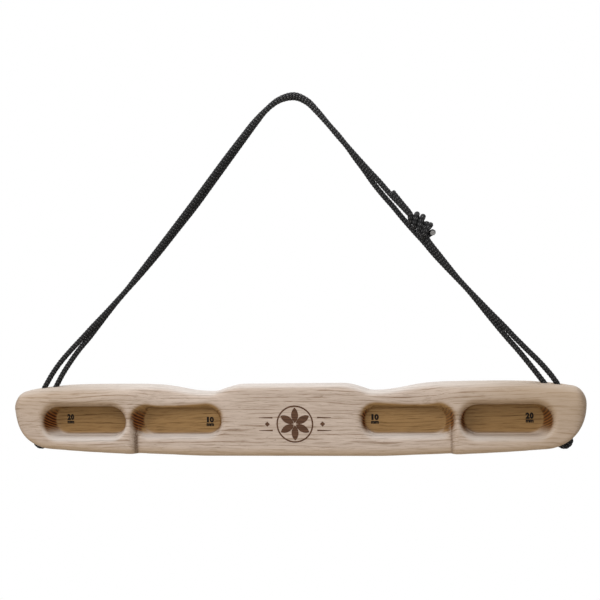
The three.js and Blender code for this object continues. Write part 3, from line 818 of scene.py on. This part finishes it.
def braided_rings(rings, run, sides, crosses):
    """The points of every ring, and the height of the braid at each of them."""
    angles = TURN_SHARES * 2 * math.pi
    around = np.stack([np.cos(angles), np.sin(angles)], axis=1)
    vertices, crowns = [], []
    for centre, i, wide in rings:
        crown = braid_crown(TURN_SHARES, run[i])
        reach = wide * (CORD_DIAMETER / 2 + BRAID_SWELL - BRAID_RELIEF * (1 - crown)) * MM
        vertices.append(centre + reach[:, None] * (around @ np.array([sides[i], crosses[i]])))
        crowns.append(crown)
    return vertices, crowns


# %% Faces and the finished tube
POLE_CROWNS = (0.5, 0.5)


def tube_faces(ring_count):
    """Quads between neighbouring rings, then a fan of triangles over each end."""
    grid = np.arange(ring_count * CORD_SIDES).reshape(ring_count, CORD_SIDES)
    beside = np.roll(grid, -1, axis=1)
    quads = np.stack([grid[:-1], beside[:-1], beside[1:], grid[1:]], axis=-1).reshape(-1, 4)
    first_pole = ring_count * CORD_SIDES
    fans = [(first_pole, int(beside[0][k]), int(grid[0][k])) for k in range(CORD_SIDES)]
    fans += [(first_pole + 1, int(grid[-1][k]), int(beside[-1][k])) for k in range(CORD_SIDES)]
    return quads.tolist() + fans


def braided_tube(name, points, end_cap):
    """A cord along points in millimetres. It starts round and ends as its end cap says."""
    line = smooth_line(points, CORD_SPACING)
    tangents, sides, crosses = cord_frames(line)
    length = np.linalg.norm(np.diff(line, axis=0), axis=1).sum() / MM
    run = np.linspace(0, length, len(line))
    rings = ring_places(line, tangents, end_cap)
    vertices, crowns = braided_rings(rings, run, sides, crosses)
    poles = [vertices[0].mean(axis=0), vertices[-1].mean(axis=0)]
    mesh = bpy.data.meshes.new(name)
    mesh.from_pydata(np.vstack([*vertices, poles]).tolist(), [], tube_faces(len(rings)))
    add_attribute(mesh, "crown", np.concatenate([*crowns, POLE_CROWNS]))
    mesh.shade_smooth()
    cord = bpy.data.objects.new(name, mesh)
    bpy.context.scene.collection.objects.link(cord)
    print(name, "is", round(length, 1), "mm long, faces", len(mesh.polygons))
    return cord, line, length


# %% [markdown]
# ## Braided polyester
#
# The sheath is nearly black. Its crowns are painted a soft grey, partly wear and partly painted
# highlight, and the gaps are painted dark as painted shade. A fine noise breaks the gloss up into
# yarns. The top of the loop is painted paler, a painted highlight from the light above. The cut ends
# are melted to stop them fraying, and there the pale core shows.

# %% The cord's materials
SHEATH_GAP = (0.0015, 0.0015, 0.002, 1)
SHEATH_CROWN = (0.32, 0.32, 0.325, 1)
CORE_MELTED = (0.17, 0.168, 0.165, 1)
TOP_HIGHLIGHT_FROM, TOP_HIGHLIGHT_TO = -60, -5
YARN_RELIEF = 0.2
FIBRE_RELIEF = 0.3


def sheath():
    material, surface, place = start_material("braided_sheath")
    crown = place.from_mesh("crown")
    yarns = place.noise(2.2, detail=3, roughness=0.65)
    worn = place.noise(0.06, detail=2)
    height = place.parts()[2]
    # The top of the loop is painted paler: a painted highlight from the light above.
    loop_top_highlight = height.step(TOP_HIGHLIGHT_FROM, TOP_HIGHLIGHT_TO)
    # The crowns are painted pale and the gaps dark: painted highlight and painted shade, with some wear.
    light = crown ** 8 * (0.05 + yarns * 0.8 + worn * 0.4 + loop_top_highlight * 0.5)
    feed(surface, "Base Color", light.colour(SHEATH_GAP, SHEATH_CROWN))
    feed(surface, "Roughness", 0.8 - crown * 0.25)
    feed(surface, "Normal", yarns.bump(YARN_RELIEF * MM, strength=0.7))
    surface.inputs["Specular IOR Level"].default_value = 0.2
    return material


def melted_core():
    material, surface, place = start_material("melted_core")
    fibres = place.noise(1.4, detail=3)
    feed(surface, "Base Color", fibres.step(0.3, 0.7).colour(CORE_MELTED, SHEATH_CROWN))
    feed(surface, "Roughness", 0.45 + fibres * 0.3)
    feed(surface, "Normal", fibres.bump(FIBRE_RELIEF * MM, strength=0.6))
    return material


sheath_material = sheath()
core_material = melted_core()

# %% Finish a cord and attach it to its body
MELTED_RINGS = 3


def melt_end(cord):
    """Shows the melted core on the last rings of a cord and on the fan that closes them."""
    cord.data.materials.append(core_material)
    faces = list(cord.data.polygons)
    last_quad = len(faces) - 2 * CORD_SIDES
    for face in faces[last_quad - MELTED_RINGS * CORD_SIDES:last_quad] + faces[-CORD_SIDES:]:
        face.material_index = 1


def finish_cord(name, points, nodes, body, far_end):
    """Makes a stretch of cord. One that ends in the knot ends as a cut and melted tail."""
    is_tail = far_end == "knot"
    cord, line, length = braided_tube(name, points, CUT_CAP if is_tail else ROUND_CAP)
    finish_piece(cord, sheath_material, body)
    if is_tail:
        melt_end(cord)
    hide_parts(*nodes)


# %% Make the five stretches of cord
knotted = ["cord_outer_upper", "cord_knot"]
finish_cord("cord_left_to_knot", upper_line, knotted, "sling", "knot")
finish_cord("cord_right_to_knot", lower_line, ["cord_outer_lower"], "sling", "knot")
finish_cord("cord_beside", INNER_ROUTE, ["cord_inner"], "sling", "object")
finish_cord("cord_in_left_end", loop_line(-1), ["cord_loop_left"], "board", "object")
finish_cord("cord_in_right_end", loop_line(1), ["cord_loop_right"], "board", "object")

# %% [markdown]
# ## Marks on the board
#
# Each pocket carries its depth as plain numbers. Blender's own font is widened or narrowed to the
# size of the real mark, and given a hair of thickness so that it lies on the wood like ink. The
# digits are placed one by one, because a narrow 1 beside a wide 0 needs its own share of the room.
# A text object becomes a mesh before it is moved, so that its place ends up in the mesh.

# %% The ink
INK = (0.007, 0.005, 0.004, 1)
INK_WORN = tuple(2.4 * part for part in INK[:3]) + (1,)
INK_WAVES = (0.3, 2, 2)


def ink():
    material, surface, place = start_material("ink")
    grain = place.stretched(*INK_WAVES).noise(1, detail=2)
    feed(surface, "Base Color", grain.step(0.3, 0.8).colour(INK, INK_WORN))
    feed(surface, "Roughness", 0.7 + grain * 0.2)
    surface.inputs["Specular IOR Level"].default_value = 0.1
    return material


ink_material = ink()

# %% Words as thin plates
INK_RISE = 0.12
INK_SUNK = 0.25
WORD_EXTRUDE = 0.5


def word_mesh(text, bold):
    """A word as a mesh with some thickness, still lying where Blender made it."""
    bpy.ops.object.select_all(action="DESELECT")
    bpy.ops.object.text_add()
    word = bpy.context.object
    word.data.body = text
    word.data.offset = bold
    word.data.extrude = WORD_EXTRUDE
    bpy.ops.object.convert(target="MESH")
    return bpy.context.object


def mark(name, text, x_span, z_span, bold):
    """Puts a word into a box on a pocket's back wall, in millimetres on the board."""
    word = word_mesh(text, bold)
    word.name = name
    corners = vertex_rows(word.data, "co")
    low, high = corners.min(axis=0), corners.max(axis=0)
    size = high - low
    x = (x_span[0] + (corners[:, 0] - low[0]) / size[0] * (x_span[1] - x_span[0])) * MM
    z = (z_span[0] + (corners[:, 1] - low[1]) / size[1] * (z_span[1] - z_span[0])) * MM
    y = (POCKET_BACK - INK_RISE + (high[2] - corners[:, 2]) / size[2] * (INK_RISE + INK_SUNK)) * MM
    placed = np.stack([x, y, z], axis=1) + foot
    word.data.vertices.foreach_set("co", placed.astype(np.float32).ravel())
    word.data.update()
    finish_piece(word, ink_material, "board")


# %% Print the depths
DEPTH_MARKS = {
    "mark_deep_left": ("20", (-236.3, -229.1), (36.4, 42.6)),
    "mark_deep_right": ("20", (230.8, 238.4), (36.0, 42.2)),
    "mark_shallow_left": ("10", (-88.4, -80.6), (33.4, 39.1)),
    "mark_shallow_right": ("10", (79.6, 87.4), (35.3, 41.2)),
}
DIGIT_SHARES = {"20": ((0, 0.51), (0.52, 1)), "10": ((0.06, 0.34), (0.44, 1))}
DIGIT_BOLD, UNIT_BOLD = 0.07, 0.065
UNIT_HEIGHT = 3.0
UNIT_GAP = 0.7
for name, (number, x_span, z_span) in DEPTH_MARKS.items():
    for digit, shares in zip(number, DIGIT_SHARES[number]):
        digit_span = [x_span[0] + share * (x_span[1] - x_span[0]) for share in shares]
        mark(f"{name}_{digit}", digit, digit_span, z_span, DIGIT_BOLD)
    unit_top = z_span[0] - UNIT_GAP
    mark(name + "_unit", "mm", x_span, (unit_top - UNIT_HEIGHT, unit_top), UNIT_BOLD)
print("marks printed:", sorted(DEPTH_MARKS))

# %% [markdown]
# ## The burnt ornament
#
# The middle of the board carries an ornament burnt into the wood. It is an old compass drawing that
# belongs to nobody: a rosette of six petals in a ring, with two tapering bars and a diamond on
# either side. A petal is the overlap of two circles. One outline is drawn and turned six times.

# %% The burnt finish
BURN_DARK = (0.06, 0.028, 0.016, 1)
BURN_LIGHT = (0.15, 0.078, 0.046, 1)
STREAK_WAVES = (0.05, 1.6, 1.6)
STREAK_RELIEF = 0.08


def burn():
    material, surface, place = start_material("burnt_wood")
    streaks = place.stretched(*STREAK_WAVES).noise(1, detail=4, roughness=0.7)
    feed(surface, "Base Color", streaks.step(0.3, 0.75).colour(BURN_DARK, BURN_LIGHT))
    feed(surface, "Roughness", 0.6 + streaks * 0.25)
    feed(surface, "Normal", streaks.bump(STREAK_RELIEF * MM, strength=0.8))
    surface.inputs["Specular IOR Level"].default_value = 0.15
    return material


burn_material = burn()

# %% Helpers for flat figures
FIGURE_CENTRE = (4.4, 32.9)
FIGURE_RISE = 0.1
FIGURE_SUNK = 0.3
ROUND_STEPS = 96


def on_figure(x, z):
    """A place just under the board's middle face, in millimetres round the figure's centre."""
    return on_board(FIGURE_CENTRE[0] + x, MIDDLE_FACE + FIGURE_SUNK, FIGURE_CENTRE[1] + z)


def circle(vertices, fill):
    bpy.ops.object.select_all(action="DESELECT")
    bpy.ops.mesh.primitive_circle_add(vertices=vertices, fill_type=fill)
    return bpy.context.object


def lift_plate(plate):
    """Gives a flat figure its thickness, towards the climber."""
    bpy.ops.object.mode_set(mode="EDIT")
    bpy.ops.mesh.select_all(action="SELECT")
    rise = -(FIGURE_RISE + FIGURE_SUNK) * MM
    bpy.ops.mesh.extrude_region_move(TRANSFORM_OT_translate={"value": (0, rise, 0)})
    bpy.ops.mesh.select_all(action="SELECT")
    bpy.ops.mesh.normals_make_consistent(inside=False)
    bpy.ops.object.mode_set(mode="OBJECT")


def flat_figure(outline):
    """A filled outline, in millimetres round the figure's centre, as a thin plate on the board."""
    plate = circle(len(outline), "NGON")
    for vertex, (x, z) in zip(plate.data.vertices, outline):
        vertex.co = on_figure(x, z)
    lift_plate(plate)
    return plate


# %% Six petals
PETAL_LENGTH = 15.5
PETAL_STEPS = 10
PETAL_SLIMNESS = 1.15
PETAL_GAP = 1.1
PETAL_COUNT = 6


def petal_outline():
    """The overlap of two circles, from the centre outwards. Larger circles make a slimmer petal."""
    radius = PETAL_LENGTH / math.sqrt(3) * PETAL_SLIMNESS
    half_angle = math.asin(PETAL_LENGTH / 2 / radius)
    middle = radius * math.cos(half_angle)
    start = PETAL_LENGTH / 2 + PETAL_GAP
    sweep = np.linspace(-half_angle, half_angle, PETAL_STEPS)
    near = [(radius * math.cos(a) - middle, start + radius * math.sin(a)) for a in sweep]
    far = [(-x, z) for x, z in reversed(near[1:-1])]
    return near + far


def turned(outline, degrees):
    c, s = math.cos(math.radians(degrees)), math.sin(math.radians(degrees))
    return [(c * x - s * z, s * x + c * z) for x, z in outline]


petals = [flat_figure(turned(petal_outline(), i * 360 / PETAL_COUNT)) for i in range(PETAL_COUNT)]
print("points in a petal's outline:", len(petal_outline()))

# %% The ring round the petals
RING_RADIUS = 18.6
RING_WIDTH = 1.5


def ring_figure(inner, outer):
    """A flat ring: an empty circle, extruded on the spot and grown about its centre."""
    ring = circle(ROUND_STEPS, "NOTHING")
    angles = np.arange(ROUND_STEPS) * 2 * math.pi / ROUND_STEPS
    for vertex, angle in zip(ring.data.vertices, angles):
        vertex.co = on_figure(inner * math.cos(angle), inner * math.sin(angle))
    bpy.ops.object.mode_set(mode="EDIT")
    bpy.ops.mesh.select_all(action="SELECT")
    bpy.ops.mesh.extrude_region_move()
    grow = outer / inner
    bpy.ops.transform.resize(value=(grow, 1, grow), center_override=on_figure(0, 0))
    bpy.ops.object.mode_set(mode="OBJECT")
    lift_plate(ring)
    return ring


ring = ring_figure(RING_RADIUS - RING_WIDTH, RING_RADIUS)
print("faces of the ring:", len(ring.data.polygons))

# %% Bars and diamonds on either side
BAR_NEAR, BAR_FAR = 22.5, 36.5
BAR_RISE = 6.4
BAR_WIDTH, BAR_TIP_WIDTH = 1.5, 0.4
DIAMOND_REACH, DIAMOND_HALF = 27.9, 2.6


def bar_outline(side, rise):
    """A bar that tapers outwards; side 1 is the right one and rise 1 the upper one."""
    near, far, z = side * BAR_NEAR, side * BAR_FAR, rise * BAR_RISE
    wide, narrow = BAR_WIDTH / 2, BAR_TIP_WIDTH / 2
    return [(near, z - wide), (far, z - narrow), (far, z + narrow), (near, z + wide)]


def diamond_outline(side):
    x = side * DIAMOND_REACH
    return [(x - DIAMOND_HALF, 0), (x, -DIAMOND_HALF), (x + DIAMOND_HALF, 0), (x, DIAMOND_HALF)]


side_figures = []
for side in (-1, 1):
    side_figures += [flat_figure(bar_outline(side, rise)) for rise in (-1, 1)]
    side_figures.append(flat_figure(diamond_outline(side)))
print("figures beside the ring:", len(side_figures))

# %% Join the ornament
def sort_faces(mesh):
    """Lists the faces by their points. An extrusion leaves them in another order on each run."""
    places = [tuple(vertex.co) for vertex in mesh.vertices]
    faces = sorted(tuple(face.vertices) for face in mesh.polygons)
    mesh.clear_geometry()
    mesh.from_pydata(places, [], faces)


bpy.ops.object.select_all(action="DESELECT")
for figure in [*petals, ring, *side_figures]:
    figure.select_set(True)
bpy.context.view_layer.objects.active = petals[0]
bpy.ops.object.join()
ornament = bpy.context.object
ornament.name = "burnt_rosette"
sort_faces(ornament.data)
finish_piece(ornament, burn_material, "board")
print("faces of the ornament:", len(ornament.data.polygons))

# %% [markdown]
# ## Floor and light
#
# The photograph has a plain white ground and soft light from above and in front. Rays that meet the
# world straight from the camera or off a gloss see white, and all others see an even warm grey, so
# the white ground doesn't flood the wood with light. The main lamp stands high on the left behind
# the climber and leaves the pockets in shade. One lamp overhead and one behind the board give the
# top edges their shine, and a wide lamp in front softens the shadows.

# %% White ground
FLOOR_DROP = 1.0
FLOOR_RADIUS = 1.3
FLOOR_COLOUR = (0.88, 0.83, 0.76, 1)
WORLD_GLOW = (0.3, 0.285, 0.262, 1)
WHITE = (1, 1, 1, 1)


def white_ground():
    world = bpy.data.worlds.new("studio")
    bpy.context.scene.world = world
    world.use_nodes = True
    tree = world.node_tree
    background = tree.nodes["Background"]
    path = tree.nodes.new("ShaderNodeLightPath")
    camera_ray, glossy_ray, transmission_ray = (
        Shade(tree, path.outputs[name])
        for name in ("Is Camera Ray", "Is Glossy Ray", "Is Transmission Ray")
    )
    seen = camera_ray.maths("MAXIMUM", glossy_ray).maths("MAXIMUM", transmission_ray)
    tree.links.new(seen.colour(WORLD_GLOW, WHITE).socket, background.inputs["Color"])


white_ground()
bpy.ops.object.select_all(action="DESELECT")
bpy.ops.mesh.primitive_circle_add(
    vertices=ROUND_STEPS, radius=FLOOR_RADIUS, fill_type="NGON", location=(0, 0, -FLOOR_DROP)
)
floor = bpy.context.object
floor.name = "floor"
floor_material, floor_surface = start_material("floor")[:2]
floor_surface.inputs["Base Color"].default_value = FLOOR_COLOUR
floor_surface.inputs["Roughness"].default_value = 0.9
floor.data.materials.append(floor_material)

# %% Lamps
board_middle = on_board(0, BOARD_DEPTH / 2, BLOCK_HEIGHT / 2)


def soft_lamp(name, place, size, watts):
    """A square lamp that points at the middle of the board. Its place and size are in metres."""
    bpy.ops.object.light_add(type="AREA", location=place)
    lamp = bpy.context.object
    lamp.name = name
    lamp.data.size = size
    lamp.data.energy = watts
    aim = board_middle - lamp.location
    lamp.rotation_euler = aim.to_track_quat("-Z", "Y").to_euler()
    print("lamp", name, "is", round(aim.length, 2), "m from the board")


soft_lamp("key", place=(-0.7, -1.1, 0.75), size=0.6, watts=11)
soft_lamp("overhead", place=(-0.1, -0.25, 0.85), size=0.8, watts=3)
soft_lamp("rim", place=(0.0, 0.5, 0.6), size=0.8, watts=5)
soft_lamp("front", place=(0.1, -1.5, 0.1), size=1.2, watts=7)
bpy.context.scene.view_settings.view_transform = "Standard"
